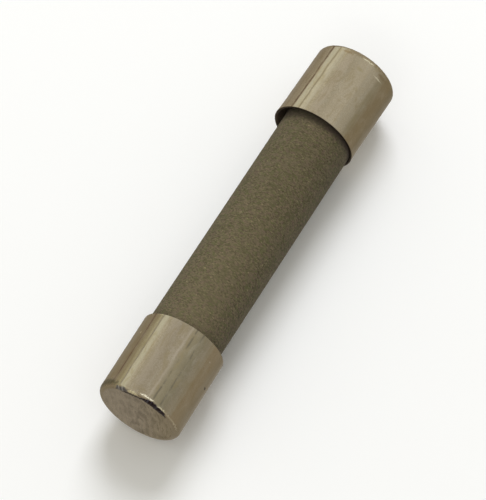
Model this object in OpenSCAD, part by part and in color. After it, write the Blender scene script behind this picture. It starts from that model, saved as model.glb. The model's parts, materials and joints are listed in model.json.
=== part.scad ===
// Cartridge fuse, 1/4 in by 1-1/4 in, with a fibre body, two drawn metal end caps,
// and a notched element strip in an arc-quenching sand fill.
//
// The fuse lies along X with its centre at the origin. The near end is at -X, the far end at +X.
// The middles of the two caps sit exactly on the X axis, because a holder grips them. The body and
// what it holds are one cemented cartridge, which leans a little in the clearance of the two caps,
// and the far cap is set on it slightly crooked.

/* [Overall] */
// Length over the two end faces
fuse_len = 31.75; // [28:0.25:38]
// Outside diameter of an end cap
cap_d = 6.35; // [6.3:0.01:6.4]

/* [End caps] */
// Length of an end cap, from its end face to its mouth
cap_len = 6.35; // [5:0.05:7]
// Sheet thickness of a drawn cap
cap_wall = 0.16; // [0.16:0.01:0.2]
// Outside radius of the corner between a cap's wall and its end face
cap_corner = 0.4; // [0.3:0.05:0.6]
// How far the far cap is turned from the X axis, in degrees
far_cap_tilt = 2; // [0:0.1:2]

/* [Body tube] */
// Outside diameter of the fibre tube
tube_d = 5.56; // [5.5:0.01:5.6]
// Bore of the fibre tube
tube_bore = 3.9; // [3.2:0.1:4.2]
// Share of the clearance in the caps that the tube's lean takes up
lean_share = 0.8; // [0:0.05:0.85]

/* [Element] */
// Width of the element strip
strip_w = 1.5; // [1.4:0.1:1.8]
// Thickness of the element strip
strip_t = 0.12; // [0.1:0.01:0.2]
// Number of weak spots along the strip
weak_spots = 5; // [3:2:5]
// Distance from one weak spot to the next
weak_pitch = 4.4; // [3:0.1:4.4]
// Diameter of the hole punched at each weak spot
weak_hole_d = 0.6; // [0.4:0.05:0.7]
// Diameter of the tin bead melted on to the middle of the strip
bead_d = 2.1; // [1.9:0.1:2.4]

/* [Hidden] */

$fn = 96;
over = 1;                                   // how far a cutting tool runs past what it cuts

half_len = fuse_len / 2;
cap_r = cap_d / 2;
cap_bore_r = cap_r - cap_wall;
cap_floor_x = half_len - cap_wall;          // inner face of a cap's floor
cap_mouth_x = half_len - cap_len;
inner_corner = cap_corner - cap_wall;

solder_t = 0.35;                            // from the washer's outer face to the cap's floor
solder_inset = 0.05;                        // keeps the solder clear of the cap's inner corner
solder_r = cap_bore_r - inner_corner - solder_inset;

washer_t = 0.4;
washer_inset = 0.08;                        // the washer is this much smaller than the tube
washer_out_x = cap_floor_x - solder_t;      // outer face of the slotted washer

tube_end_x = washer_out_x - washer_t;       // the washer seats on the end of the tube
tube_r = tube_d / 2;
bore_r = tube_bore / 2;
washer_r = tube_r - washer_inset;
tube_lean = asin(lean_share * (cap_bore_r - tube_r) / tube_end_x);

seal_t = 0.55;
sand_end_x = tube_end_x - seal_t;

cement_setback = 0.1;                       // from the tube's end to the cement
cement_depth = 1.8;                         // from the cap's mouth to the cement
cement_in_x = tube_end_x - cement_setback;
cement_out_x = cap_mouth_x + cement_depth;

tail_len = 1.7;                             // the strip's end, folded over the washer's face
notch_r = 0.3;                              // half-round notches in the strip's two edges

// Everything in the cartridge leans together about Z.
module leaning() {
    rotate([0, 0, -tube_lean]) children();
}

// Turns a cap, and what is moulded to its inside, about the cap's own middle. It moves back by
// what its end face's edge would otherwise stand out, which keeps the fuse's length.
module crooked(tilt) {
    middle_x = half_len - cap_len / 2;
    seat_back = (cap_r - cap_corner) * sin(tilt);
    translate([middle_x - seat_back, 0, 0]) rotate([0, 0, -tilt]) translate([-middle_x, 0, 0]) children();
}

// Turns the children about Z, so that what is built for the far end serves the near end.
module near_side() {
    rotate([0, 0, 180]) children();
}

// A shaft along +X from x0 to x1.
module rod(r, x0, x1) {
    translate([x0, 0, 0]) rotate([0, 90, 0]) cylinder(r = r, h = x1 - x0);
}

// A slug along +X from x0 to x1, whose edge at x1 is rounded.
module rounded_rod(r, corner, x0, x1) {
    len = x1 - x0;
    translate([x0, 0, 0]) rotate([0, 90, 0]) rotate_extrude() {
        square([r - corner, len]);
        square([r, len - corner]);
        translate([r - corner, len - corner]) intersection() {
            circle(r = corner);
            square(corner);
        }
    }
}

// The strip's end at the far side, folded up over the washer.
module strip_tail() {
    translate([washer_out_x, -strip_w / 2, -strip_t / 2]) cube([strip_t, strip_w, tail_len]);
}

// The strip before its weak spots are cut: the flat run and the two tails.
module strip_blank() {
    run_len = 2 * (washer_out_x + strip_t);
    translate([-run_len / 2, -strip_w / 2, -strip_t / 2]) cube([run_len, strip_w, strip_t]);
    strip_tail();
    near_side() strip_tail();
}

module weak_spot_cuts() {
    for (i = [0 : weak_spots - 1]) {
        x = (i - (weak_spots - 1) / 2) * weak_pitch;
        // The tin bead covers the middle of the strip, so the strip is left whole there.
        if (abs(x) > bead_d / 2) {
            translate([x, 0, -over]) cylinder(d = weak_hole_d, h = 2 * over, $fn = 32);
            for (side = [-1, 1])
                translate([x, side * strip_w / 2, -over]) cylinder(r = notch_r, h = 2 * over, $fn = 32);
        }
    }
}

module strip_body() {
    difference() {
        strip_blank();
        weak_spot_cuts();
    }
}

module bead_body() {
    sphere(d = bead_d, $fn = 64);
}

// ---- The separate pieces ----

module body_tube() {
    color("#6b6250") leaning() difference() {
        rod(tube_r, -tube_end_x, tube_end_x);
        rod(bore_r, -tube_end_x - over, tube_end_x + over);
    }
}

module end_cap(tilt) {
    color("#a89e88") crooked(tilt) difference() {
        rounded_rod(cap_r, cap_corner, cap_mouth_x, half_len);
        rounded_rod(cap_bore_r, inner_corner, cap_mouth_x - over, cap_floor_x);
    }
}

module near_end_cap() {
    near_side() end_cap(0);
}

module far_end_cap() {
    end_cap(far_cap_tilt);
}

// A ring of cement in the clearance between a cap and the tube, thicker on one side because
// the tube leans.
module cement(tilt) {
    color("#4a453b") difference() {
        crooked(tilt) rod(cap_bore_r, cement_out_x, cement_in_x);
        leaning() rod(tube_r, cement_out_x - over, cement_in_x + over);
    }
}

module near_cement() {
    near_side() cement(0);
}

module far_cement() {
    cement(far_cap_tilt);
}

// Solder that fills the gap between the washer and the cap's floor, and bonds the strip's tail.
module solder(tilt) {
    color("#b9b8b2") difference() {
        crooked(tilt) rod(solder_r, washer_out_x - over, cap_floor_x);
        leaning() rod(2 * cap_r, washer_out_x - 2 * over, washer_out_x);
        leaning() strip_blank();
    }
}

module near_solder() {
    near_side() solder(0);
}

module far_solder() {
    solder(far_cap_tilt);
}

module slotted_washer() {
    color("#b08d4a") leaning() difference() {
        rod(washer_r, tube_end_x, washer_out_x);
        strip_blank();
    }
}

module near_slotted_washer() {
    near_side() slotted_washer();
}

module far_slotted_washer() {
    slotted_washer();
}

module sand_seal() {
    color("#8c7a5e") leaning() difference() {
        rod(bore_r, sand_end_x, tube_end_x);
        strip_blank();
    }
}

module near_sand_seal() {
    near_side() sand_seal();
}

module far_sand_seal() {
    sand_seal();
}

module element_strip() {
    color("#c07a4e") leaning() strip_body();
}

module tin_bead() {
    color("#c9c9c4") leaning() difference() {
        bead_body();
        strip_body();
    }
}

module sand_fill() {
    color("#d8cfb8") leaning() difference() {
        rod(bore_r, -sand_end_x, sand_end_x);
        strip_body();
        bead_body();
    }
}

body_tube();
near_end_cap();
far_end_cap();
near_cement();
far_cement();
near_solder();
far_solder();
near_slotted_washer();
far_slotted_washer();
near_sand_seal();
far_sand_seal();
element_strip();
tin_bead();
sand_fill();
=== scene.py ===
import json
import math
from types import SimpleNamespace

import bmesh
import bpy
import numpy as np
from mathutils import Matrix, Vector


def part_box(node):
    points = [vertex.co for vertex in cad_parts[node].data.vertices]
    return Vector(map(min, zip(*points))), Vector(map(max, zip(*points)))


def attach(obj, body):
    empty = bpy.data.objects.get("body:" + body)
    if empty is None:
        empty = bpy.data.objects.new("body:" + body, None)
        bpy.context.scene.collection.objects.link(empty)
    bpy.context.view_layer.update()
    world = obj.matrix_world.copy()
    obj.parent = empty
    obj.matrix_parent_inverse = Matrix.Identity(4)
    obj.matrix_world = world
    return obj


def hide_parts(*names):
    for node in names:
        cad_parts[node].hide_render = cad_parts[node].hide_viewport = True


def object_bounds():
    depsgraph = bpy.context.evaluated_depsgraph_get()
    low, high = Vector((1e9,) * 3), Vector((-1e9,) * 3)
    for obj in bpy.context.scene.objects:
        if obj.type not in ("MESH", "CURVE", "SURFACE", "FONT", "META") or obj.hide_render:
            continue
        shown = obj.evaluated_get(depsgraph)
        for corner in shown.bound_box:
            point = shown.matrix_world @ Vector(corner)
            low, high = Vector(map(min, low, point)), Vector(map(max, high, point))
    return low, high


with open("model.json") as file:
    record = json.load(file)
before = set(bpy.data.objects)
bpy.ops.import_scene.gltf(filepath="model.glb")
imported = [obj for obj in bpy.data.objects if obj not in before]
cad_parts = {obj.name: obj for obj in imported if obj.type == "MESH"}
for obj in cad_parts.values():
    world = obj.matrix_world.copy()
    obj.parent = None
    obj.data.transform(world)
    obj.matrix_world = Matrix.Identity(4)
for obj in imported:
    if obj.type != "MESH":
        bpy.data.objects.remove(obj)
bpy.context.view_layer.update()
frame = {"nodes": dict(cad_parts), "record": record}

MM = 0.001

# ---- Sizes, from the frame ----

CAP_CORNER = 0.4 * MM          # outside radius between a cap's wall and its end face
LIP_RADIUS = 0.05 * MM         # the rounded edge of a cap's mouth

near_lo, near_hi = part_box("near_end_cap")
tube_lo, tube_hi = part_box("body_tube")
cement_lo, cement_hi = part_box("near_cement")
solder_lo, solder_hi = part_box("near_solder")

cap_length = near_hi.x - near_lo.x
cap_radius = (near_hi.z - near_lo.z) / 2
cap_bore = (cement_hi.z - cement_lo.z) / 2      # the cement fills the cap out to its wall
cap_wall = cap_radius - cap_bore
floor_thickness = solder_lo.x - near_lo.x       # the solder lies on the cap's floor
tube_radius = (tube_hi.z - tube_lo.z) / 2


def find_lean():
    """How far the tube leans about Z, and half its length, from its box."""
    lean, half = 0.0, tube_hi.x
    for _ in range(4):
        half = (tube_hi.x - tube_radius * math.sin(lean)) / math.cos(lean)
        lean = math.asin((tube_hi.y - tube_radius * math.cos(lean)) / half)
    return lean, half


def cap_seat(mount_name):
    """Where a cap sits: its own +X runs from its mouth to its end face, and its middle is at 0.
    The mount is at the middle of the plain wall, which stops short of the rounded corner."""
    mount = next(m for m in frame["record"]["mounts"] if m["name"] == mount_name)
    axis = Vector(mount["axis"])
    middle = Vector(mount["pos_m"]) + axis * CAP_CORNER / 2
    return Matrix.Translation(middle) @ Matrix.Rotation(math.atan2(axis.y, axis.x), 4, "Z")


tube_lean, tube_half = find_lean()
LEANING = Matrix.Rotation(-tube_lean, 4, "Z")


# ---- Meshes ----

def make_object(name, points, faces, turn=None):
    mesh = bpy.data.meshes.new(name)
    mesh.from_pydata([tuple(p) for p in points], [], faces)
    if turn is not None:
        mesh.transform(turn)
    mesh.polygons.foreach_set("use_smooth", [True] * len(mesh.polygons))
    mesh.update()
    piece = bpy.data.objects.new(name, mesh)
    bpy.context.scene.collection.objects.link(piece)
    return piece


def arc(centre_x, centre_r, radius, start, end, steps):
    """Points (x, r) along part of a circle, with angles in degrees from +x towards +r."""
    angles = np.radians(np.linspace(start, end, steps))
    return [(centre_x + radius * math.cos(a), centre_r + radius * math.sin(a)) for a in angles]


def line(x0, r0, x1, r1, steps):
    """Points (x, r) between two ends, both left out."""
    share = np.linspace(0, 1, steps + 2)[1:-1]
    return [(x0 + (x1 - x0) * s, r0 + (r1 - r0) * s) for s in share]


def lathe(profile, segments, closed=False):
    """Points and faces of (x, r) rings turned about X. A closed profile joins its last ring to its
    first; an open one ends in a point on the axis at each end."""
    rings = np.array(profile)
    angles = np.arange(segments) * 2 * math.pi / segments
    x = np.repeat(rings[:, 0], segments)
    r = np.repeat(rings[:, 1], segments)
    a = np.tile(angles, len(rings))
    points = np.stack([x, r * np.sin(a), r * np.cos(a)], 1)
    faces = []
    count = len(rings)
    for i in range(count if closed else count - 1):
        j = (i + 1) % count
        for k in range(segments):
            m = (k + 1) % segments
            faces.append((i * segments + k, j * segments + k, j * segments + m, i * segments + m))
    if not closed:
        first, last = len(points), len(points) + 1
        points = np.vstack([points, [[rings[0, 0], 0, 0], [rings[-1, 0], 0, 0]]])
        base = (count - 1) * segments
        for k in range(segments):
            m = (k + 1) % segments
            faces.append((first, k, m))
            faces.append((last, base + m, base + k))
    return points, faces


def cap_profile():
    """(x, r) from the middle of the floor inside, round the lip, to the middle of the end face."""
    inner_corner = CAP_CORNER - cap_wall
    mouth, end = -cap_length / 2, cap_length / 2
    inner_end = end - floor_thickness
    lip = LIP_RADIUS
    inside = line(inner_end, 0, inner_end, cap_bore - inner_corner, 6)
    corner_in = arc(inner_end - inner_corner, cap_bore - inner_corner, inner_corner, 0, 90, 8)
    wall_in = line(inner_end - inner_corner, cap_bore, mouth + lip, cap_bore, 12)
    lip_in = arc(mouth + lip, cap_bore + lip, lip, 270, 180, 5)
    lip_out = arc(mouth + lip, cap_radius - lip, lip, 180, 90, 5)
    wall_out = line(mouth + lip, cap_radius, end - CAP_CORNER, cap_radius, 70)
    corner_out = arc(end - CAP_CORNER, cap_radius - CAP_CORNER, CAP_CORNER, 90, 0, 20)
    face = line(end, cap_radius - CAP_CORNER, end, 0, 30)
    return inside + corner_in + wall_in + lip_in + lip_out + wall_out + corner_out + face


def ripple(angle, x, orders, seed):
    """A lengthwise waviness of height about 1 that closes on itself round the axis."""
    draw = np.random.default_rng(seed)
    total = np.zeros_like(angle)
    for order in orders:
        phase, slant = draw.uniform(0, 2 * math.pi), draw.normal(0, 60)
        total += draw.normal(0, 1) * np.cos(order * angle + phase + slant * x)
    return total / math.sqrt(len(orders))


def shape_cap(points, flare, seed):
    """Works the plain lathe shape: lengthwise drawing ripples, a mouth that flares a little, and a
    hollow in the end face."""
    x, y, z = points.T
    r = np.hypot(y, z)
    angle = np.arctan2(y, z)
    end = cap_length / 2
    outer = np.clip((r - cap_bore - cap_wall * 0.4) / (cap_wall * 0.3), 0, 1)
    on_wall = outer * np.clip((end - CAP_CORNER * 0.5 - x) / (0.3 * MM), 0, 1)
    sunk = 0.0035 * MM * np.abs(ripple(angle, x, range(7, 46), seed))
    sunk += 0.006 * MM * np.abs(ripple(angle, x, range(2, 6), seed + 1))
    scale = np.where(r > 0, (r - on_wall * sunk) / np.maximum(r, 1e-12), 1.0)
    spread = flare * np.exp(-(x + end) / (0.4 * MM))
    scale = scale * (1 + spread / np.maximum(r, tube_radius))
    on_face = np.clip((x - end + floor_thickness * 0.4) / (floor_thickness * 0.3), 0, 1)
    inner_face = np.clip(1 - r / (cap_radius - CAP_CORNER), 0, 1)
    hollow = 0.03 * MM * np.sqrt(inner_face) * on_face
    return np.stack([x - hollow, y * scale, z * scale], 1)


def make_cap(name, node, mount_name, flare, seed):
    """A drawn cap in place of its CAD node, seated where the mount on its wall says."""
    points, faces = lathe(cap_profile(), 288)
    cap = make_object(name, shape_cap(points, flare, seed), faces, cap_seat(mount_name))
    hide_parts(node)
    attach(cap, "root")
    return cap


def make_tube():
    """The fibre tube in place of its CAD node, with a broken edge at each end and an uneven outside."""
    bore = (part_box("sand_fill")[1].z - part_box("sand_fill")[0].z) / 2      # the sand fills it
    edge = 0.06 * MM
    outside = line(-tube_half + edge, tube_radius, tube_half - edge, tube_radius, 230)
    profile = (
        [(-tube_half, bore), (-tube_half, tube_radius - edge), (-tube_half + edge, tube_radius)]
        + outside
        + [(tube_half - edge, tube_radius), (tube_half, tube_radius - edge), (tube_half, bore)]
        + line(tube_half, bore, -tube_half, bore, 12)
    )
    points, faces = lathe(profile, 192, closed=True)
    x, y, z = points.T
    r = np.hypot(y, z)
    angle = np.arctan2(y, z)
    outer = np.clip((r - tube_radius + edge * 1.5) / edge, 0, 1)
    worn = 0.006 * MM * np.abs(ripple(angle, x, range(2, 20), 31))
    scale = (r - outer * worn) / r
    points = np.stack([x, y * scale, z * scale], 1)
    tube = make_object("fibre_tube", points, faces, LEANING)
    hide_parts("body_tube")
    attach(tube, "root")
    return tube


# ---- Material helpers ----

def add(tree, kind, inputs=None, **settings):
    """A shader node. An input that is a socket is linked, and any other is set."""
    node = tree.nodes.new("ShaderNode" + kind)
    for key, value in settings.items():
        setattr(node, key, value)
    for key, value in (inputs or {}).items():
        if isinstance(value, bpy.types.NodeSocket):
            tree.links.new(value, node.inputs[key])
        else:
            node.inputs[key].default_value = value
    return node


def maths(tree, operation, a, b=0.0):
    return add(tree, "Math", {0: a, 1: b}, operation=operation).outputs[0]


def row_place(tree):
    """The place in the row frame, in millimetres."""
    place = add(tree, "TexCoord").outputs["Object"]
    return add(tree, "VectorMath", {0: place, "Scale": 1 / MM}, operation="SCALE").outputs[0]


def own_place(tree, seat):
    """The place in the own frame of a piece that sits at seat, in millimetres."""
    inverse = seat.inverted()
    settings = {
        "Vector": add(tree, "TexCoord").outputs["Object"],
        "Location": tuple(inverse.translation / MM),
        "Rotation": tuple(inverse.to_euler()),
        "Scale": (1 / MM, 1 / MM, 1 / MM),
    }
    return add(tree, "Mapping", settings).outputs[0]


def stretched(tree, place, scale):
    return add(tree, "VectorMath", {0: place, 1: scale}, operation="MULTIPLY").outputs[0]


def shifted_by(tree, place, shift):
    return add(tree, "VectorMath", {0: place, 1: shift}, operation="ADD").outputs[0]


def off_axis(tree, place):
    """The distance of a place from the X axis."""
    across = stretched(tree, place, (0.0, 1.0, 1.0))
    return add(tree, "VectorMath", {0: across}, operation="LENGTH").outputs["Value"]


def degrees(tree, a, b):
    """The angle in degrees whose tangent is a over b."""
    return maths(tree, "MULTIPLY", maths(tree, "ARCTAN2", a, b), 180 / math.pi)


def noise(tree, place, scale, detail=4.0, roughness=0.55, distortion=0.0):
    settings = {"Vector": place, "Scale": scale, "Detail": detail, "Roughness": roughness}
    settings["Distortion"] = distortion
    return add(tree, "TexNoise", settings).outputs["Fac"]


def wobble(tree, value, amount):
    """A noise from 0 to 1 as a shift either way, of up to half the amount."""
    return maths(tree, "MULTIPLY", maths(tree, "SUBTRACT", value, 0.5), amount)


def span(tree, value, low, high, to_low=0.0, to_high=1.0):
    """value from low to high becomes to_low to to_high, smoothly and with the ends held."""
    inputs = {"Value": value, "From Min": low, "From Max": high, "To Min": to_low, "To Max": to_high}
    return add(tree, "MapRange", inputs, interpolation_type="SMOOTHSTEP").outputs["Result"]


def ridge(tree, value, centre, half_width):
    """1 where value is at centre, falling smoothly to 0 at half_width from it."""
    distance = maths(tree, "ABSOLUTE", maths(tree, "SUBTRACT", value, centre))
    return span(tree, distance, 0.0, half_width, 1.0, 0.0)


def product(tree, *factors):
    total = factors[0]
    for factor in factors[1:]:
        total = maths(tree, "MULTIPLY", total, factor)
    return total


def mix(tree, share, a, b):
    """The colour a, with a share of the colour b mixed in."""
    node = add(tree, "Mix", {0: share}, data_type="RGBA", blend_type="MIX")
    for socket, colour in ((node.inputs[6], a), (node.inputs[7], b)):
        if isinstance(colour, bpy.types.NodeSocket):
            tree.links.new(colour, socket)
        else:
            socket.default_value = (*colour, 1.0)
    return node.outputs[2]


def bump(tree, height, distance, strength=1.0, normal=None):
    inputs = {"Height": height, "Distance": distance, "Strength": strength}
    if normal is not None:
        inputs["Normal"] = normal
    return add(tree, "Bump", inputs).outputs["Normal"]


def new_material(name):
    material = bpy.data.materials.new(name)
    material.use_nodes = True
    tree = material.node_tree
    return material, tree, tree.nodes["Principled BSDF"]


def connect(tree, shader, inputs):
    for key, value in inputs.items():
        if isinstance(value, bpy.types.NodeSocket):
            tree.links.new(value, shader.inputs[key])
        else:
            shader.inputs[key].default_value = value


def clothe(piece, material):
    piece.data.materials.clear()
    piece.data.materials.append(material)


# ---- Materials ----

def cap_coordinates(tree, place, hand):
    """For a place in a cap's own frame: the distance along its axis, the turn round it in degrees from
    the top, the radius, and the way round its corner in degrees from the wall (0) to the end face (90).
    The turn runs towards the cap's own +Y where hand is 1, and away from it where hand is -1."""
    parts = add(tree, "SeparateXYZ", {0: place})
    x, y, z = (parts.outputs[axis] for axis in "XYZ")
    turn = degrees(tree, maths(tree, "MULTIPLY", y, hand), z)
    radius = off_axis(tree, place)
    beyond_x = maths(tree, "SUBTRACT", x, (cap_length / 2 - CAP_CORNER) / MM)
    beyond_r = maths(tree, "SUBTRACT", radius, (cap_radius - CAP_CORNER) / MM)
    return x, turn, radius, degrees(tree, beyond_x, beyond_r)


def streaks_across(tree, turn, scale, seed):
    """Streaks that cross a cap's corner: a noise that changes only with the turn round the cap."""
    inputs = {"W": maths(tree, "ADD", turn, 10.0 * seed), "Scale": scale, "Detail": 3.0, "Roughness": 0.6}
    return add(tree, "TexNoise", inputs, noise_dimensions="1D").outputs[0]


def cap_fields(tree, seat, hand, seed):
    """The values that vary over a cap, from which its colour and finish are worked out."""
    place = own_place(tree, seat)
    x, turn, radius, corner = cap_coordinates(tree, place, hand)
    shifted = shifted_by(tree, place, (seed, seed, seed))
    lengthwise = stretched(tree, shifted, (0.07, 1.0, 1.0))
    on_face = span(tree, corner, 75.0, 100.0)
    drift = wobble(tree, noise(tree, shifted, 0.45, 3.0), 5.0)
    return SimpleNamespace(
        x=x, turn=turn, radius=radius, corner=corner, shifted=shifted, on_face=on_face,
        on_wall=maths(tree, "SUBTRACT", 1.0, on_face),
        wandering=maths(tree, "ADD", turn, drift),
        streaks=noise(tree, lengthwise, 4.0, 5.0, 0.6),
        fine_streaks=noise(tree, lengthwise, 16.0, 3.0, 0.6),
        blotches=noise(tree, shifted, 0.9, 5.0, 0.62),
        specks=noise(tree, shifted, 6.0, 3.0, 0.7),
        grit=noise(tree, shifted, 8.0, 2.0, 0.8),
        patches=noise(tree, stretched(tree, shifted, (0.35, 1.0, 1.0)), 2.0, 4.0, 0.62, 0.6),
        clouds=noise(tree, shifted, 1.3, 3.0, 0.5),
        scuffs=noise(tree, stretched(tree, shifted, (1.0, 2.6, 0.8)), 1.5, 2.0, 0.5),
        teeth=streaks_across(tree, turn, 0.22, seed),
        tones=streaks_across(tree, turn, 0.35, seed + 40),
    )


def bare_plate(tree, cap, light, deep):
    """The metal between two shades, with dull streaks along the cap and dark specks and grit."""
    dull = tuple(0.72 * c for c in deep)
    colour = mix(tree, span(tree, cap.blotches, 0.35, 0.68), light, deep)
    colour = mix(tree, product(tree, span(tree, cap.streaks, 0.5, 0.8, 0.0, 0.5), cap.on_wall), colour, dull)
    gritty = span(tree, cap.on_face, 0.0, 1.0, 1.0, 0.45)
    colour = mix(tree, product(tree, span(tree, cap.specks, 0.55, 0.8, 0.0, 0.35), gritty), colour, dull)
    grit = product(tree, span(tree, cap.grit, 0.38, 0.62, 0.0, 0.42), gritty)
    return mix(tree, grit, colour, (0.37, 0.32, 0.215))


def add_shades(tree, cap, colour, shades):
    """Broad shades along the cap, which wander a little, under brown and pale patches. The shades are partly
    tarnish and partly painted reflections: pale and dark bands where the metal mirrors the room.
    """
    for start, end, edge, shade, strength in shades:
        after_start = span(tree, cap.wandering, start - edge, start + edge)
        before_end = span(tree, cap.wandering, end - edge, end + edge, 1.0, 0.0)
        inside = product(tree, after_start, before_end, cap.on_wall)
        patchy = span(tree, cap.blotches, 0.25, 0.6, 0.65 * strength, strength)
        colour = mix(tree, product(tree, inside, patchy), colour, shade)
    brown = product(tree, span(tree, cap.patches, 0.50, 0.66, 0.0, 0.42), cap.on_wall)
    colour = mix(tree, brown, colour, (0.43, 0.36, 0.215))
    pale = product(tree, span(tree, cap.patches, 0.34, 0.46, 0.3, 0.0), cap.on_wall)
    return mix(tree, pale, colour, (0.59, 0.56, 0.47))


def add_lines(tree, cap, colour, lines):
    """Thin lines along the cap, which wander a little and fade here and there. They are partly marks on the
    metal and partly painted reflections of edges in the room.
    """
    along_cap = stretched(tree, cap.shifted, (1.0, 0.3, 0.3))
    before_corner = span(tree, cap.corner, 5.0, 35.0, 1.0, 0.0)
    for at, half_width, steady, shade, strength in lines:
        faded = noise(tree, shifted_by(tree, along_cap, (at, at, 0.0)), 0.9, 4.0, 0.65)
        strong = span(tree, faded, 0.38, 0.56, strength * steady, strength)
        here = product(tree, ridge(tree, cap.wandering, at, half_width), before_corner, strong)
        colour = mix(tree, here, colour, shade)
    return colour


def wear_and_shade_face(tree, cap, colour):
    """The end face: soft blotches and faint scuffs, which fade to one side, and a painted shade that turns it
    more brown towards the other.
    """
    blotchy = span(tree, cap.clouds, 0.38, 0.66, 0.0, 0.55)
    scuffed = span(tree, cap.scuffs, 0.42, 0.62, 0.0, 0.5)
    turn_sine = maths(tree, "SINE", maths(tree, "MULTIPLY", cap.turn, math.pi / 180))
    sideways = maths(tree, "MULTIPLY", cap.radius, turn_sine)
    colour = mix(tree, product(tree, cap.on_face, 0.7), colour, (0.68, 0.62, 0.53))
    worn = product(tree, cap.on_face, span(tree, sideways, -0.8, 1.6, 1.0, 0.4))
    dark = product(tree, maths(tree, "ADD", blotchy, scuffed), worn)
    colour = mix(tree, dark, colour, (0.32, 0.285, 0.235))
    # Painted shade: more brown towards one side of the face.
    painted_browner_side = product(tree, cap.on_face, span(tree, sideways, -2.6, 0.6, 0.6, 0.0))
    return mix(tree, painted_browner_side, colour, (0.46, 0.395, 0.25))


def add_smears_and_painted_reflections(tree, cap, colour, smears_and_reflections):
    """Grime and tarnish along the corner, with painted reflections: dark bands, pale patches and white
    highlights where the metal mirrors the room.
    They lie in streaks that cross the corner, with ragged edges. It also returns where each mark or painted
    reflection lies."""
    taper_share, widest_share = 0.35, 0.65
    ragged = maths(tree, "ADD", wobble(tree, cap.specks, 34.0), wobble(tree, cap.teeth, 36.0))
    toothed = maths(tree, "ADD", cap.corner, ragged)
    smear_or_painted_reflection = 0.0
    for start, end, low, high, edge, shade, streak, strength in smears_and_reflections:
        taper = taper_share * (end - start)
        rise = span(tree, cap.turn, start, start + taper)
        fall = span(tree, cap.turn, end - taper, end, 1.0, 0.0)
        along = product(tree, rise, fall)
        middle = low + widest_share * (high - low)
        lower = maths(tree, "SUBTRACT", middle, product(tree, along, middle - low))
        upper = maths(tree, "ADD", middle, product(tree, along, high - middle))
        above = span(tree, maths(tree, "SUBTRACT", toothed, lower), -edge, edge)
        below = span(tree, maths(tree, "SUBTRACT", upper, toothed), -edge, edge)
        inside = product(tree, above, below, span(tree, along, 0.0, 0.25), strength)
        colour = mix(tree, inside, colour, mix(tree, span(tree, cap.tones, 0.45, 0.7), shade, streak))
        smear_or_painted_reflection = maths(tree, "MAXIMUM", inside, smear_or_painted_reflection)
    return colour, smear_or_painted_reflection


def add_spots(tree, cap, colour, spots):
    """Small oval spots with rough edges."""
    mm_per_degree = math.radians(cap_radius / MM)
    for at_x, at_turn, half_round, half_along, shade in spots:
        across = product(tree, maths(tree, "SUBTRACT", cap.turn, at_turn), mm_per_degree / half_round)
        along = product(tree, maths(tree, "SUBTRACT", cap.x, at_x), 1 / half_along)
        squares = maths(tree, "ADD", product(tree, across, across), product(tree, along, along))
        apart = maths(tree, "ADD", maths(tree, "SQRT", squares), wobble(tree, cap.specks, 1.5))
        inside = product(tree, span(tree, apart, 0.3, 1.1, 1.0, 0.0), cap.on_wall)
        colour = mix(tree, inside, colour, shade)
    return colour


def tarnish_and_painted_shade_inside(tree, cap, colour):
    """Dark tarnish on the cut edge of the mouth and on the inside, which is also painted shade in the gap
    between the cap and the tube. It also returns where each is.
    """
    end = cap_length / 2 / MM
    mouth = span(tree, cap.x, 0.015 - end, 0.05 - end, 1.0, 0.0)
    full, none = (cap_bore + 0.2 * cap_wall) / MM, (cap_bore + 0.6 * cap_wall) / MM
    inside_wall = span(tree, cap.radius, full, none, 1.0, 0.0)
    within = product(tree, inside_wall, span(tree, cap.x, end - 0.5, end - 0.4, 1.0, 0.0))
    colour = mix(tree, product(tree, within, 0.9), colour, (0.16, 0.125, 0.095))
    colour = mix(tree, product(tree, mouth, 0.93), colour, (0.05, 0.035, 0.03))
    return colour, mouth, within


def nickel_material(name, seat, hand, colours, lines, shades, smears_and_reflections, spots, seed):
    """Satin nickel plate on a drawn cap. colours is the metal's two shades. Along the cap run thin
    lines (turn, half width, how steady, colour, strength), partly marks and partly painted reflections, and
    broad shades (from turn, to turn, edge, colour, strength), partly tarnish and partly painted reflections.
    Its corner has grime and painted reflections and highlights (from turn, to turn, from corner, to corner,
    edge, colour, streak colour, strength).
    spots are (x, turn, half length round the cap, half length along it, colour). Turns are in degrees and
    lengths in mm."""
    material, tree, shader = new_material(name)
    cap = cap_fields(tree, seat, hand, seed)
    colour = bare_plate(tree, cap, *colours)
    colour = add_shades(tree, cap, colour, shades)
    colour = add_lines(tree, cap, colour, lines)
    colour = wear_and_shade_face(tree, cap, colour)
    colour, smear_or_painted_reflection = add_smears_and_painted_reflections(tree, cap, colour, smears_and_reflections)
    colour = add_spots(tree, cap, colour, spots)
    colour, mouth, within = tarnish_and_painted_shade_inside(tree, cap, colour)

    # Rougher at tarnish, grime, painted shade and painted reflections.
    dirty_or_painted = maths(tree, "MAXIMUM", maths(tree, "MAXIMUM", mouth, within), smear_or_painted_reflection)
    rough = span(tree, cap.fine_streaks, 0.3, 0.75, 0.15, 0.25)
    rough = maths(tree, "ADD", rough, maths(tree, "MULTIPLY", dirty_or_painted, 0.25))
    scuffed = product(tree, cap.on_face, span(tree, cap.scuffs, 0.35, 0.7, 0.04, 0.12))
    rough = maths(tree, "ADD", rough, scuffed)
    past_wall = span(tree, cap.corner, 5.0, 25.0)
    before_face = span(tree, cap.corner, 75.0, 95.0, 1.0, 0.0)
    normal = bump(tree, cap.fine_streaks, 0.002 * MM)
    normal = bump(tree, cap.clouds, 0.004 * MM, cap.on_face, normal)
    normal = bump(tree, cap.specks, 0.006 * MM, product(tree, past_wall, before_face), normal)
    # Less metallic inside the cap, so that the inside mirrors little and stays dark like shade in the gap.
    metallic = span(tree, within, 0.0, 1.0, 1.0, 0.15)
    finish = {"Base Color": colour, "Metallic": metallic, "Roughness": rough, "Normal": normal}
    connect(tree, shader, finish)
    return material


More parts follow.
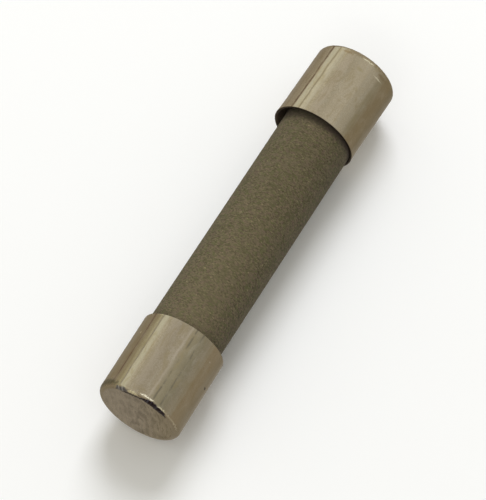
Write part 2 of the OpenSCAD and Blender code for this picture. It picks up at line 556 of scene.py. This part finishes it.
def fibre_material():
    """Grey-brown vulcanised fibre: a fine mottle that runs round the tube, with cloudy patches and a few
    pale fibres. Painted light makes it paler along the top and towards the near end, painted shade makes it
    darker towards the far end, and a painted shadow darkens it under the far cap's mouth."""
    material, tree, shader = new_material("fibre")
    place = row_place(tree)
    round_tube = stretched(tree, place, (2.0, 1.0, 1.0))
    grain = noise(tree, round_tube, 5.2, 3.0, 0.7)
    flecks = noise(tree, round_tube, 4.2, 2.0, 0.6)
    tint = noise(tree, round_tube, 3.0, 3.0, 0.7)
    clouds = noise(tree, stretched(tree, place, (1.4, 1.0, 1.0)), 1.3, 4.0, 0.65)
    hairs = noise(tree, stretched(tree, place, (7.0, 1.8, 1.8)), 1.3, 2.0, 0.5, 1.0)
    colour = mix(tree, span(tree, grain, 0.28, 0.72), (0.032, 0.0265, 0.0108), (0.159, 0.132, 0.075))
    colour = mix(tree, span(tree, tint, 0.52, 0.64, 0.0, 0.65), colour, (0.122, 0.082, 0.062))
    colour = mix(tree, span(tree, tint, 0.36, 0.48, 0.75, 0.0), colour, (0.078, 0.085, 0.028))
    colour = mix(tree, span(tree, clouds, 0.54, 0.66, 0.0, 0.6), colour, (0.068, 0.064, 0.026))
    colour = mix(tree, span(tree, clouds, 0.34, 0.48, 0.6, 0.0), colour, (0.114, 0.093, 0.057))
    colour = mix(tree, span(tree, flecks, 0.64, 0.74, 0.0, 0.8), colour, (0.24, 0.205, 0.11))
    colour = mix(tree, span(tree, flecks, 0.22, 0.36, 0.5, 0.0), colour, (0.045, 0.038, 0.022))
    colour = mix(tree, span(tree, hairs, 0.70, 0.78, 0.0, 0.6), colour, (0.25, 0.22, 0.13))

    parts = add(tree, "SeparateXYZ", {0: place})
    x, y, z = (parts.outputs[axis] for axis in "XYZ")
    turn = degrees(tree, y, z)
    # Painted light: paler along the top and towards the near end.
    painted_top_light = product(tree, span(tree, x, -9.0, 5.0, 0.19, 0.08), ridge(tree, turn, -10.0, 62.0))
    colour = mix(tree, painted_top_light, colour, (0.24, 0.20, 0.125))
    # Painted shade: darker towards the far end.
    colour = mix(tree, span(tree, x, -3.0, 9.0, 0.0, 0.12), colour, (0.045, 0.038, 0.018))
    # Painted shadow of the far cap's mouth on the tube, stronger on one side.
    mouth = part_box("far_end_cap")[0].x / MM
    ragged = maths(tree, "ADD", x, wobble(tree, clouds, 0.8))
    painted_mouth_shadow = product(tree, span(tree, ragged, mouth - 0.6, mouth), span(tree, turn, -50.0, 20.0, 0.85, 0.35))
    colour = mix(tree, painted_mouth_shadow, colour, (0.040, 0.027, 0.022))
    normal = bump(tree, grain, 0.015 * MM)
    connect(tree, shader, {"Base Color": colour, "Roughness": 0.85, "Normal": normal})
    return material


def cement_material():
    """Dark, dull cement with fine pores."""
    material, tree, shader = new_material("cement")
    place = row_place(tree)
    lumps = noise(tree, place, 2.2, 5.0, 0.6)
    pores = add(tree, "TexVoronoi", {"Vector": place, "Scale": 7.0}).outputs["Distance"]
    colour = mix(tree, span(tree, lumps, 0.3, 0.7), (0.085, 0.075, 0.055), (0.16, 0.14, 0.105))
    # Painted shade: darker in the pores.
    colour = mix(tree, span(tree, pores, 0.08, 0.22, 0.8, 0.0), colour, (0.035, 0.03, 0.024))
    normal = bump(tree, lumps, 0.03 * MM)
    normal = bump(tree, span(tree, pores, 0.0, 0.25), 0.015 * MM, 1.0, normal)
    connect(tree, shader, {"Base Color": colour, "Roughness": 0.92, "Normal": normal})
    return material


def solder_material():
    """Grey solder, brighter and duller in patches, with brown flux left on it."""
    material, tree, shader = new_material("solder")
    place = row_place(tree)
    frost = noise(tree, place, 1.8, 5.0, 0.6)
    flux = noise(tree, place, 0.8, 3.0, 0.55)
    colour = mix(tree, span(tree, frost, 0.35, 0.7), (0.60, 0.60, 0.585), (0.40, 0.40, 0.395))
    colour = mix(tree, span(tree, flux, 0.58, 0.7, 0.0, 0.7), colour, (0.24, 0.15, 0.06))
    rough = span(tree, frost, 0.3, 0.7, 0.25, 0.5)
    normal = bump(tree, frost, 0.02 * MM)
    connect(tree, shader, {"Base Color": colour, "Metallic": 1.0, "Roughness": rough, "Normal": normal})
    return material


def brass_material():
    """Turned brass, with fine rings and dull yellow-brown patches."""
    material, tree, shader = new_material("washer_brass")
    place = row_place(tree)
    rings = maths(tree, "SINE", maths(tree, "MULTIPLY", off_axis(tree, place), 90.0))
    dull = noise(tree, place, 1.1, 4.0, 0.6)
    colour = mix(tree, span(tree, dull, 0.35, 0.7), (0.70, 0.50, 0.22), (0.42, 0.28, 0.11))
    rough = span(tree, dull, 0.3, 0.7, 0.22, 0.42)
    normal = bump(tree, rings, 0.0015 * MM)
    connect(tree, shader, {"Base Color": colour, "Metallic": 1.0, "Roughness": rough, "Normal": normal})
    return material


def board_material():
    """Pressed paper board, with long fibres lying across the tube."""
    material, tree, shader = new_material("seal_board")
    place = row_place(tree)
    fibres = noise(tree, stretched(tree, place, (2.0, 0.7, 5.0)), 3.0, 4.0, 0.65, 0.8)
    crossing = noise(tree, stretched(tree, place, (2.0, 5.0, 0.7)), 3.0, 4.0, 0.65, 0.8)
    felted = maths(tree, "MAXIMUM", fibres, crossing)
    colour = mix(tree, span(tree, felted, 0.4, 0.7), (0.30, 0.22, 0.13), (0.52, 0.41, 0.27))
    normal = bump(tree, felted, 0.03 * MM)
    connect(tree, shader, {"Base Color": colour, "Roughness": 0.95, "Normal": normal})
    return material


def copper_material():
    """Rolled copper strip, with fine lines along it and patches of darker oxide."""
    material, tree, shader = new_material("element_copper")
    place = row_place(tree)
    rolled = noise(tree, stretched(tree, place, (0.08, 1.0, 1.0)), 14.0, 3.0, 0.6)
    oxide = noise(tree, place, 0.7, 4.0, 0.6)
    colour = mix(tree, span(tree, rolled, 0.3, 0.7), (0.78, 0.43, 0.27), (0.66, 0.34, 0.20))
    colour = mix(tree, span(tree, oxide, 0.5, 0.72, 0.0, 0.8), colour, (0.30, 0.13, 0.09))
    rough = span(tree, oxide, 0.35, 0.7, 0.2, 0.45)
    normal = bump(tree, rolled, 0.002 * MM)
    connect(tree, shader, {"Base Color": colour, "Metallic": 1.0, "Roughness": rough, "Normal": normal})
    return material


def tin_material():
    """Cast tin, with a faint pattern of crystals, each of its own shade of grey."""
    material, tree, shader = new_material("tin")
    place = row_place(tree)
    crystals = add(tree, "TexVoronoi", {"Vector": place, "Scale": 2.6})
    shade = add(tree, "SeparateColor", {0: crystals.outputs["Color"]}).outputs["Red"]
    ripples = noise(tree, place, 1.6, 4.0, 0.55)
    colour = mix(tree, shade, (0.62, 0.62, 0.60), (0.76, 0.76, 0.73))
    rough = span(tree, shade, 0.0, 1.0, 0.2, 0.38)
    normal = bump(tree, ripples, 0.03 * MM)
    connect(tree, shader, {"Base Color": colour, "Metallic": 1.0, "Roughness": rough, "Normal": normal})
    return material


def sand_material():
    """Quartz sand: grains of about 0.3 mm, most of them pale, some tan and a few dark."""
    material, tree, shader = new_material("sand")
    place = row_place(tree)
    grains = add(tree, "TexVoronoi", {"Vector": place, "Scale": 3.4})
    kind = add(tree, "SeparateColor", {0: grains.outputs["Color"]}).outputs["Green"]
    colour = mix(tree, span(tree, kind, 0.35, 0.75), (0.78, 0.75, 0.67), (0.62, 0.50, 0.33))
    colour = mix(tree, span(tree, kind, 0.90, 0.94), colour, (0.20, 0.15, 0.10))
    # Painted shade: darker in the gaps between grains.
    gaps = span(tree, grains.outputs["Distance"], 0.25, 0.6, 0.0, 0.6)
    colour = mix(tree, gaps, colour, (0.25, 0.20, 0.14))
    normal = bump(tree, span(tree, grains.outputs["Distance"], 0.0, 0.7, 1.0, 0.0), 0.1 * MM)
    connect(tree, shader, {"Base Color": colour, "Roughness": 0.6, "Normal": normal})
    return material


def paint(material, *nodes):
    """Gives CAD nodes that stay a new material."""
    for node in nodes:
        for material_slot in frame["nodes"][node].material_slots:
            material_slot.material = material


def make_strip():
    """The element strip's own mesh in place of its CAD node, with its faces joined into one closed
    surface, so that the strip can be cut out of other pieces."""
    shape = bmesh.new()
    shape.from_mesh(frame["nodes"]["element_strip"].data)
    bmesh.ops.remove_doubles(shape, verts=shape.verts, dist=0.0001 * MM)
    mesh = bpy.data.meshes.new("punched_strip")
    shape.to_mesh(mesh)
    shape.free()
    mesh.polygons.foreach_set("use_smooth", [False] * len(mesh.polygons))
    strip = bpy.data.objects.new("punched_strip", mesh)
    bpy.context.scene.collection.objects.link(strip)
    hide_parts("element_strip")
    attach(strip, "root")
    clothe(strip, copper_material())
    return strip


def make_rough(name, node, material, profile, voxel, size, depth):
    """A turned piece in place of a CAD node, with hollows of a size and depth sunk into its surface."""
    points, faces = lathe(profile, 96)
    piece = make_object(name, points, faces, LEANING)
    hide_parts(node)
    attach(piece, "root")
    clothe(piece, material)
    remesh = piece.modifiers.new("remesh", "REMESH")
    remesh.mode = "VOXEL"
    remesh.voxel_size = voxel
    remesh.use_smooth_shade = True
    clouds = bpy.data.textures.new(name + "_hollows", "CLOUDS")
    clouds.noise_scale = size
    clouds.noise_depth = 2
    hollows = piece.modifiers.new("hollows", "DISPLACE")
    hollows.texture = clouds
    hollows.texture_coords = "LOCAL"
    hollows.mid_level = 0.0
    hollows.strength = -depth
    return piece


def make_room(piece, *others):
    """Cuts the others out of a rough piece, after its remesh, which would close a narrow slot."""
    for other in others:
        room = piece.modifiers.new("room_for_" + other.name, "BOOLEAN")
        room.operation = "DIFFERENCE"
        room.solver = "MANIFOLD"
        room.object = other


def finish_inside():
    """New materials for the CAD nodes that stay, and new pieces for the strip, the bead and the sand."""
    paint(cement_material(), "near_cement", "far_cement")
    paint(solder_material(), "near_solder", "far_solder")
    paint(brass_material(), "near_slotted_washer", "far_slotted_washer")
    paint(board_material(), "near_sand_seal", "far_sand_seal")
    strip = make_strip()
    bead_radius = (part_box("tin_bead")[1].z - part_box("tin_bead")[0].z) / 2
    ball = arc(0, 0, bead_radius, 177, 3, 60)       # the lathe closes the two ends
    bead = make_rough("cast_bead", "tin_bead", tin_material(), ball,
                      voxel=0.035 * MM, size=0.6 * MM, depth=0.12 * MM)
    make_room(bead, strip)
    sand_lo, sand_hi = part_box("sand_fill")
    sand_radius = (sand_hi.z - sand_lo.z) / 2
    sand_half = (sand_hi.x - sand_radius * math.sin(tube_lean)) / math.cos(tube_lean)
    slug = [(-sand_half, sand_radius), (sand_half, sand_radius)]
    sand = make_rough("packed_sand", "sand_fill", sand_material(), slug,
                      voxel=0.085 * MM, size=0.22 * MM, depth=0.09 * MM)
    make_room(sand, strip, bead)


# ---- Studio ----

def make_world():
    """A pale room: a brown bench top below, and walls that are darkest on one side. It shows in the
    metal, and the camera itself sees plain near-white."""
    world = bpy.data.worlds.new("studio")
    bpy.context.scene.world = world
    world.use_nodes = True
    tree = world.node_tree
    direction = add(tree, "TexCoord").outputs["Generated"]
    parts = add(tree, "SeparateXYZ", {0: direction})
    side, height = parts.outputs["Y"], parts.outputs["Z"]
    bench = mix(tree, span(tree, side, -0.9, 0.9), (0.388, 0.34, 0.27), (0.38, 0.332, 0.262))
    bench = mix(tree, span(tree, height, -0.8, -0.4), (0.335, 0.30, 0.245), bench)
    wall = mix(tree, span(tree, side, -0.95, -0.45), (0.44, 0.42, 0.37), (0.62, 0.595, 0.53))
    wall = mix(tree, span(tree, side, -0.15, 0.3), wall, (0.57, 0.54, 0.475))
    wall = mix(tree, span(tree, side, 0.35, 0.75), wall, (0.64, 0.61, 0.52))
    light = mix(tree, span(tree, height, -0.01, 0.01), bench, wall)
    seen = add(tree, "LightPath").outputs["Is Camera Ray"]
    background = tree.nodes["Background"]
    tree.links.new(mix(tree, seen, light, (0.9, 0.9, 0.9)), background.inputs["Color"])


def make_softbox(name, direction, distance, width, height, power, colour):
    """An area light that faces the object from a direction. The camera doesn't see it."""
    data = bpy.data.lights.new(name, "AREA")
    data.shape = "RECTANGLE"
    data.size, data.size_y = width, height
    data.energy = power
    data.color = colour
    box = bpy.data.objects.new(name, data)
    away = Vector(direction).normalized()
    turn = away.to_track_quat("Z", "Y")
    box.matrix_world = Matrix.Translation(away * distance) @ turn.to_matrix().to_4x4()
    bpy.context.scene.collection.objects.link(box)
    box.visible_camera = False
    return box


def make_floor(ground_height):
    """A plain pale floor, 3 m across."""
    half = 1.5
    corners = [(-half, -half), (half, -half), (half, half), (-half, half)]
    floor = make_object("floor", [(x, y, ground_height) for x, y in corners], [(0, 1, 2, 3)])
    material, tree, shader = new_material("floor")
    connect(tree, shader, {"Base Color": (0.92, 0.945, 0.99, 1.0), "Roughness": 0.9})
    clothe(floor, material)
    floor.visible_glossy = False


def make_camera():
    """A long lens at the photograph's viewing angle. The shifts put the fuse where the photo has it."""
    azimuth, elevation = math.radians(-60.82), math.radians(60.9)
    distance, shift_right, shift_up = 212.05 * MM, 0.53 * MM, 0.88 * MM
    back = Vector((math.sin(azimuth) * math.cos(elevation), -math.cos(azimuth) * math.cos(elevation),
                   math.sin(elevation)))
    data = bpy.data.cameras.new("camera")
    data.lens = 216
    data.sensor_width = 36
    data.clip_start, data.clip_end = 0.01, 10
    camera = bpy.data.objects.new("camera", data)
    turn = back.to_track_quat("Z", "Y")
    right, up = turn @ Vector((1, 0, 0)), turn @ Vector((0, 1, 0))
    place = back * distance - right * shift_right - up * shift_up
    camera.matrix_world = Matrix.Translation(place) @ turn.to_matrix().to_4x4()
    bpy.context.scene.collection.objects.link(camera)
    bpy.context.scene.camera = camera


def make_card(name, corners, low_colour, high_colour, fade):
    """A glowing card that only shows in reflections. Its colour changes between two heights."""
    card = make_object(name, corners, [(0, 1, 2, 3)])
    material, tree, shader = new_material(name)
    height = add(tree, "SeparateXYZ", {0: row_place(tree)}).outputs["Z"]
    glow = mix(tree, span(tree, height, fade[0] / MM, fade[1] / MM), low_colour, high_colour)
    connect(tree, shader, {"Base Color": (0.0, 0.0, 0.0, 1.0), "Roughness": 1.0, "Specular IOR Level": 0.0,
                           "Emission Color": glow, "Emission Strength": 1.0})
    clothe(card, material)
    card.visible_camera = card.visible_diffuse = card.visible_shadow = False


def upright(x0, x1, y, low, high):
    """The corners of an upright card at y."""
    return [(x0, y, low), (x1, y, low), (x1, y, high), (x0, y, high)]


def make_studio():
    ground_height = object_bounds()[0][2]
    make_world()
    make_floor(ground_height)
    make_camera()
    key = make_softbox("key", (0.68, 0.25, 0.73), 0.8, 0.4, 0.4, 4.3, (1.0, 1.0, 1.0))
    key.visible_glossy = False
    make_softbox("glint", (-0.72, -0.13, 0.68), 0.7, 0.34, 0.12, 0.25, (1.0, 0.98, 0.9))
    make_card("window", upright(-0.8, 1.2, 0.5, 0.01, 0.70),
              low_colour=(0.80, 0.77, 0.64), high_colour=(0.64, 0.61, 0.52), fade=(0.30, 0.68))
    make_card("board", upright(-0.4, 0.09, 0.2, ground_height, 0.083),
              low_colour=(0.44, 0.385, 0.29), high_colour=(0.52, 0.475, 0.35), fade=(0.0, 0.08))
    bpy.context.scene.view_settings.view_transform = "Standard"


# ---- Build ----

near_cap = make_cap("near_cap", "near_end_cap", "near_cap_wall", 0.0, 5)
far_cap = make_cap("far_cap", "far_end_cap", "far_cap_wall", 0.05 * MM, 9)
tube = make_tube()
clothe(near_cap, nickel_material(
    "near_nickel", cap_seat("near_cap_wall"), -1,
    colours=((0.545, 0.488, 0.40), (0.48, 0.42, 0.325)),
    lines=[
        (40.6, 1.6, 0.3, (0.20, 0.075, 0.035), 0.8),
        (33.5, 2.4, 0.1, (0.40, 0.32, 0.21), 0.45),
        (29.5, 1.6, 0.2, (0.66, 0.62, 0.46), 0.5),
        (26.3, 1.4, 0.4, (0.24, 0.22, 0.20), 0.7),
        (-15.5, 2.6, 0.5, (0.62, 0.56, 0.47), 0.6),
        (-21.8, 2.0, 0.0, (0.20, 0.18, 0.14), 0.75),
        (-32.5, 1.8, 0.1, (0.22, 0.20, 0.16), 0.65),
        (-56.0, 8.0, 0.1, (0.46, 0.38, 0.24), 0.3),
    ],
    shades=[
        (44.0, 100.0, 4.0, (0.50, 0.44, 0.30), 0.8),
        (18.0, 25.0, 2.0, (0.575, 0.55, 0.45), 0.8),
        (1.0, 10.0, 3.0, (0.60, 0.54, 0.445), 0.6),
        (-41.0, -18.5, 6.0, (0.355, 0.325, 0.225), 0.66),
        (27.0, 38.0, 3.0, (0.54, 0.51, 0.36), 0.5),
        (-100.0, -47.0, 6.0, (0.51, 0.455, 0.335), 0.6),
    ],
    smears_and_reflections=[
        # Rows: a dark olive smear, then painted reflections and highlights: a dark bluish band, a cream
        # patch, two black bands, white and yellow-white highlights and a pale line.
        (22.0, 98.0, -24.0, 40.0, 18.0, (0.16, 0.15, 0.10), (0.25, 0.23, 0.165), 0.85),
        (11.0, 38.0, 40.0, 96.0, 9.0, (0.14, 0.14, 0.16), (0.48, 0.49, 0.53), 0.9),
        (-4.0, 17.0, 50.0, 88.0, 8.0, (1.0, 0.95, 0.70), (0.60, 0.56, 0.42), 0.9),
        (-14.0, 30.0, 88.0, 122.0, 6.0, (0.05, 0.04, 0.04), (0.14, 0.12, 0.12), 0.95),
        (-59.0, 1.0, 46.0, 119.0, 6.0, (0.03, 0.018, 0.022), (0.12, 0.12, 0.16), 1.0),
        (-26.0, -2.0, 22.0, 38.0, 4.0, (0.95, 0.92, 0.80), (0.55, 0.52, 0.44), 0.9),
        (-48.0, -28.0, 40.0, 54.0, 4.0, (1.0, 0.97, 0.75), (0.60, 0.56, 0.42), 0.9),
        (-92.0, -38.0, 44.0, 56.0, 3.0, (0.86, 0.82, 0.68), (0.66, 0.61, 0.48), 0.8),
    ],
    spots=[
        (-0.60, -84.0, 0.22, 0.11, (0.02, 0.015, 0.015)),
        (-1.48, 49.0, 0.13, 0.13, (0.80, 0.75, 0.58)),
        (-2.0, -61.0, 0.12, 0.08, (0.68, 0.64, 0.55)),
    ],
    seed=3.0,
))
clothe(far_cap, nickel_material(
    "far_nickel", cap_seat("far_cap_wall"), 1,
    colours=((0.635, 0.575, 0.46), (0.57, 0.505, 0.38)),
    lines=[
        # The dark lines at 35.2 and 23.7 are painted reflections of the edges of a pale band.
        (35.2, 3.0, 0.75, (0.13, 0.07, 0.04), 0.95),
        (23.7, 2.1, 0.7, (0.30, 0.26, 0.19), 0.8),
        (-5.5, 3.0, 0.2, (0.50, 0.45, 0.34), 0.5),
        (-30.0, 2.5, 0.2, (0.50, 0.45, 0.35), 0.4),
    ],
    shades=[
        # The pale shades from 25.5 to 33 and from 14.5 to 21.5 are painted reflections of a pale band, and
        # the dark shade from -100 to -44 is a painted reflection of the darker room below.
        (38.0, 47.0, 2.0, (0.70, 0.64, 0.50), 0.45),
        (25.5, 33.0, 2.0, (0.56, 0.535, 0.45), 0.7),
        (14.5, 21.5, 2.0, (0.63, 0.59, 0.50), 0.7),
        (-1.0, 9.0, 3.0, (0.67, 0.60, 0.48), 0.6),
        (-60.0, -8.0, 5.0, (0.58, 0.515, 0.395), 0.5),
        (-100.0, -44.0, 3.5, (0.425, 0.37, 0.255), 0.9),
    ],
    smears_and_reflections=[
        # Rows: a brown smear, then a painted white highlight on the rim.
        (-60.0, 24.0, -4.0, 30.0, 8.0, (0.32, 0.25, 0.15), (0.46, 0.38, 0.25), 0.6),
        (-31.0, -9.0, -5.0, 9.0, 4.0, (1.0, 0.96, 0.78), (0.85, 0.79, 0.60), 1.0),
    ],
    spots=[
        (1.85, -16.0, 0.36, 0.20, (0.50, 0.44, 0.30)),
        # The pale dash at 2.20 is a painted glint.
        (2.20, -43.5, 0.52, 0.07, (0.88, 0.82, 0.66)),
        (2.68, 10.0, 0.5, 0.14, (0.46, 0.37, 0.24)),
        (2.55, -48.0, 0.6, 0.18, (0.38, 0.31, 0.20)),
    ],
    seed=11.0,
))
clothe(tube, fibre_material())
finish_inside()
make_studio()
